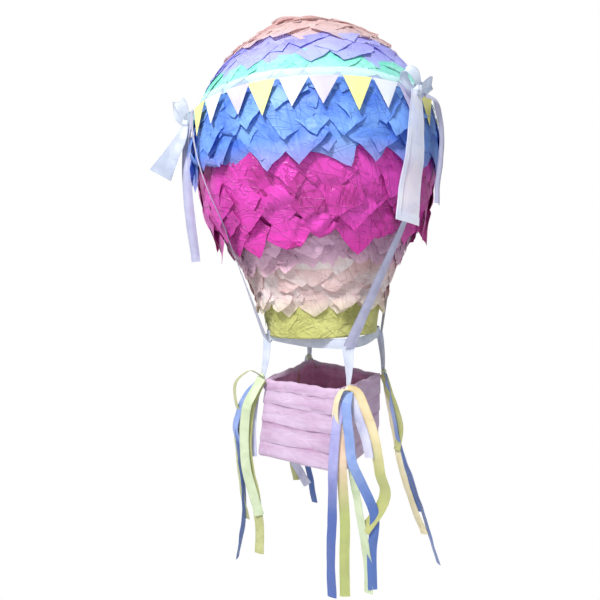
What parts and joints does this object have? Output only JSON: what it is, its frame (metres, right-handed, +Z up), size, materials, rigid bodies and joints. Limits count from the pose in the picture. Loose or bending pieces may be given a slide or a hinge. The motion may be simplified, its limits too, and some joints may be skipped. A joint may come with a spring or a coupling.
{
  "type": "pinata",
  "caption": "Hot-air-balloon pinata: round tissue-covered balloon with pennants and bows over a small square crepe-covered basket on ribbon straps, with curling streamers.",
  "frame": {"origin": "inner top of the twine hanging loop, where a hook or party cord bears", "axes": "+Z up; the basket's sides follow X and Y and its front faces -Y"},
  "size_m": [0.3318, 0.3087, 0.6741],
  "materials": {
    "twine": "jute twine",
    "dowel_wood": "bare dowel",
    "card": "kraft card, uncoated",
    "papier_mache": "pasted newsprint, dry",
    "tissue_peach": "crumpled tissue paper",
    "tissue_lavender": "crumpled tissue paper",
    "tissue_mint": "crumpled tissue paper",
    "tissue_blue": "crumpled tissue paper",
    "tissue_magenta": "crumpled tissue paper",
    "tissue_light_pink": "crumpled tissue paper",
    "tissue_cream": "crumpled tissue paper",
    "tissue_lime": "crumpled tissue paper",
    "organza": "sheer white ribbon",
    "satin_white": "white satin ribbon",
    "pennant_yellow": "thin coloured paper",
    "pennant_white": "thin coloured paper",
    "pennant_lilac": "thin coloured paper",
    "crepe_pink": "ribbed crepe paper",
    "lining_mauve": "creased tissue paper",
    "streamer_mixed": "thin curling ribbon",
    "knot_lime": "knotted ribbon"
  },
  "bodies": {
    "hanger": {"hanging_loop": "twine"},
    "balloon": {"crown_eye": "twine", "toggle_dowel": "dowel_wood", "crown_disc": "card", "envelope_shell": "papier_mache", "neck_plate": "card", "girdle_ribbon": "organza", "collar_ribbon": "satin_white", "tissue_peach": "tissue_peach", "tissue_lavender": "tissue_lavender", "tissue_mint": "tissue_mint", "tissue_blue": "tissue_blue", "tissue_magenta": "tissue_magenta", "tissue_light_pink": "tissue_light_pink", "tissue_cream": "tissue_cream", "tissue_lime": "tissue_lime", "pennants_yellow": "pennant_yellow", "pennants_white": "pennant_white", "pennants_lilac": "pennant_lilac", "suspension_ribbon_front_left": "satin_white", "suspension_ribbon_front_right": "satin_white", "suspension_ribbon_back_right": "satin_white", "suspension_ribbon_back_left": "satin_white", "bow_front_left": "satin_white", "bow_front_right": "satin_white", "bow_back_right": "satin_white", "bow_back_left": "satin_white"},
    "trap_door": {"trap_door": "card"},
    "bow_tails_front_left": {"bow_tails_front_left": "satin_white"},
    "collar_knot_front_left": {"collar_knot_front_left": "satin_white"},
    "strap_front_left": {"strap_front_left": "satin_white"},
    "bow_tails_front_right": {"bow_tails_front_right": "satin_white"},
    "collar_knot_front_right": {"collar_knot_front_right": "satin_white"},
    "strap_front_right": {"strap_front_right": "satin_white"},
    "bow_tails_back_right": {"bow_tails_back_right": "satin_white"},
    "collar_knot_back_right": {"collar_knot_back_right": "satin_white"},
    "strap_back_right": {"strap_back_right": "satin_white"},
    "bow_tails_back_left": {"bow_tails_back_left": "satin_white"},
    "collar_knot_back_left": {"collar_knot_back_left": "satin_white"},
    "strap_back_left": {"strap_back_left": "satin_white"},
    "basket_knot_front_left": {"basket_knot_front_left": "knot_lime"},
    "basket": {"basket_box": "card", "crepe_strip_1": "crepe_pink", "crepe_strip_2": "crepe_pink", "crepe_strip_3": "crepe_pink", "crepe_strip_4": "crepe_pink", "basket_lining": "lining_mauve", "rim_fold": "crepe_pink", "basket_knot_front_right": "knot_lime", "basket_knot_back_right": "knot_lime", "basket_knot_back_left": "knot_lime"},
    "streamers_front_left": {"streamers_front_left": "streamer_mixed"},
    "streamers_front_right": {"streamers_front_right": "streamer_mixed"},
    "streamers_back_right": {"streamers_back_right": "streamer_mixed"},
    "streamers_back_left": {"streamers_back_left": "streamer_mixed"}
  },
  "joints": [
    {"name": "balloon_swing", "type": "hinge", "parent": "hanger", "child": "balloon", "pos_m": [0, 0, -0.0109], "axis": [1, 0, 0], "range_deg": [-35, 35]},
    {"name": "trap_door_hinge", "type": "hinge", "parent": "balloon", "child": "trap_door", "pos_m": [-0.0265, 0, -0.3849], "axis": [0, 1, 0], "range_deg": [0, 80]},
    {"name": "bow_tails_front_left_swing", "type": "hinge", "parent": "balloon", "child": "bow_tails_front_left", "pos_m": [-0.12621, -0.09169, -0.1329], "axis": [-0.5878, 0.809, 0], "range_deg": [0, 45]},
    {"name": "strap_front_left_lean_y", "type": "hinge", "parent": "balloon", "child": "collar_knot_front_left", "pos_m": [-0.051, -0.051, -0.405], "axis": [1, 0, 0], "range_deg": [-20, 20]},
    {"name": "strap_front_left_lean_x", "type": "hinge", "parent": "collar_knot_front_left", "child": "strap_front_left", "pos_m": [-0.051, -0.051, -0.405], "axis": [0, 1, 0], "range_deg": [-20, 20]},
    {"name": "bow_tails_front_right_swing", "type": "hinge", "parent": "balloon", "child": "bow_tails_front_right", "pos_m": [0.14836, -0.04821, -0.1329], "axis": [-0.309, -0.9511, 0], "range_deg": [0, 45]},
    {"name": "strap_front_right_lean_y", "type": "hinge", "parent": "balloon", "child": "collar_knot_front_right", "pos_m": [0.051, -0.051, -0.405], "axis": [1, 0, 0], "range_deg": [-20, 20]},
    {"name": "strap_front_right_lean_x", "type": "hinge", "parent": "collar_knot_front_right", "child": "strap_front_right", "pos_m": [0.051, -0.051, -0.405], "axis": [0, 1, 0], "range_deg": [-20, 20]},
    {"name": "bow_tails_back_right_swing", "type": "hinge", "parent": "balloon", "child": "bow_tails_back_right", "pos_m": [0.05844, 0.14464, -0.1329], "axis": [0.9272, -0.3746, 0], "range_deg": [0, 45]},
    {"name": "strap_back_right_lean_y", "type": "hinge", "parent": "balloon", "child": "collar_knot_back_right", "pos_m": [0.051, 0.051, -0.405], "axis": [1, 0, 0], "range_deg": [-20, 20]},
    {"name": "strap_back_right_lean_x", "type": "hinge", "parent": "collar_knot_back_right", "child": "strap_back_right", "pos_m": [0.051, 0.051, -0.405], "axis": [0, 1, 0], "range_deg": [-20, 20]},
    {"name": "bow_tails_back_left_swing", "type": "hinge", "parent": "balloon", "child": "bow_tails_back_left", "pos_m": [-0.11593, 0.10438, -0.1329], "axis": [0.6691, 0.7431, 0], "range_deg": [0, 45]},
    {"name": "strap_back_left_lean_y", "type": "hinge", "parent": "balloon", "child": "collar_knot_back_left", "pos_m": [-0.051, 0.051, -0.405], "axis": [1, 0, 0], "range_deg": [-20, 20]},
    {"name": "strap_back_left_lean_x", "type": "hinge", "parent": "collar_knot_back_left", "child": "strap_back_left", "pos_m": [-0.051, 0.051, -0.405], "axis": [0, 1, 0], "range_deg": [-20, 20]},
    {"name": "basket_level_x", "type": "hinge", "parent": "strap_front_left", "child": "basket_knot_front_left", "pos_m": [-0.051, -0.051, -0.4385], "axis": [0, 1, 0], "range_deg": [-20, 20]},
    {"name": "basket_level_y", "type": "hinge", "parent": "basket_knot_front_left", "child": "basket", "pos_m": [-0.051, -0.051, -0.4385], "axis": [1, 0, 0], "range_deg": [-20, 20]},
    {"name": "streamers_front_left_swing", "type": "hinge", "parent": "basket", "child": "streamers_front_left", "pos_m": [-0.05325, -0.05325, -0.4459], "axis": [-0.7071, 0.7071, 0], "range_deg": [0, 60]},
    {"name": "streamers_front_right_swing", "type": "hinge", "parent": "basket", "child": "streamers_front_right", "pos_m": [0.05325, -0.05325, -0.4459], "axis": [-0.7071, -0.7071, 0], "range_deg": [0, 60]},
    {"name": "streamers_back_right_swing", "type": "hinge", "parent": "basket", "child": "streamers_back_right", "pos_m": [0.05325, 0.05325, -0.4459], "axis": [0.7071, -0.7071, 0], "range_deg": [0, 60]},
    {"name": "streamers_back_left_swing", "type": "hinge", "parent": "basket", "child": "streamers_back_left", "pos_m": [-0.05325, 0.05325, -0.4459], "axis": [0.7071, 0.7071, 0], "range_deg": [0, 60]}
  ],
  "couplings": [
    {"joint": "strap_front_right_lean_y", "follows": "strap_front_left_lean_y", "ratio": 1},
    {"joint": "strap_front_right_lean_x", "follows": "strap_front_left_lean_x", "ratio": 1},
    {"joint": "strap_back_right_lean_y", "follows": "strap_front_left_lean_y", "ratio": 1},
    {"joint": "strap_back_right_lean_x", "follows": "strap_front_left_lean_x", "ratio": 1},
    {"joint": "strap_back_left_lean_y", "follows": "strap_front_left_lean_y", "ratio": 1},
    {"joint": "strap_back_left_lean_x", "follows": "strap_front_left_lean_x", "ratio": 1},
    {"joint": "basket_level_x", "follows": "strap_front_left_lean_x", "ratio": -1},
    {"joint": "basket_level_y", "follows": "strap_front_left_lean_y", "ratio": -1}
  ]
}
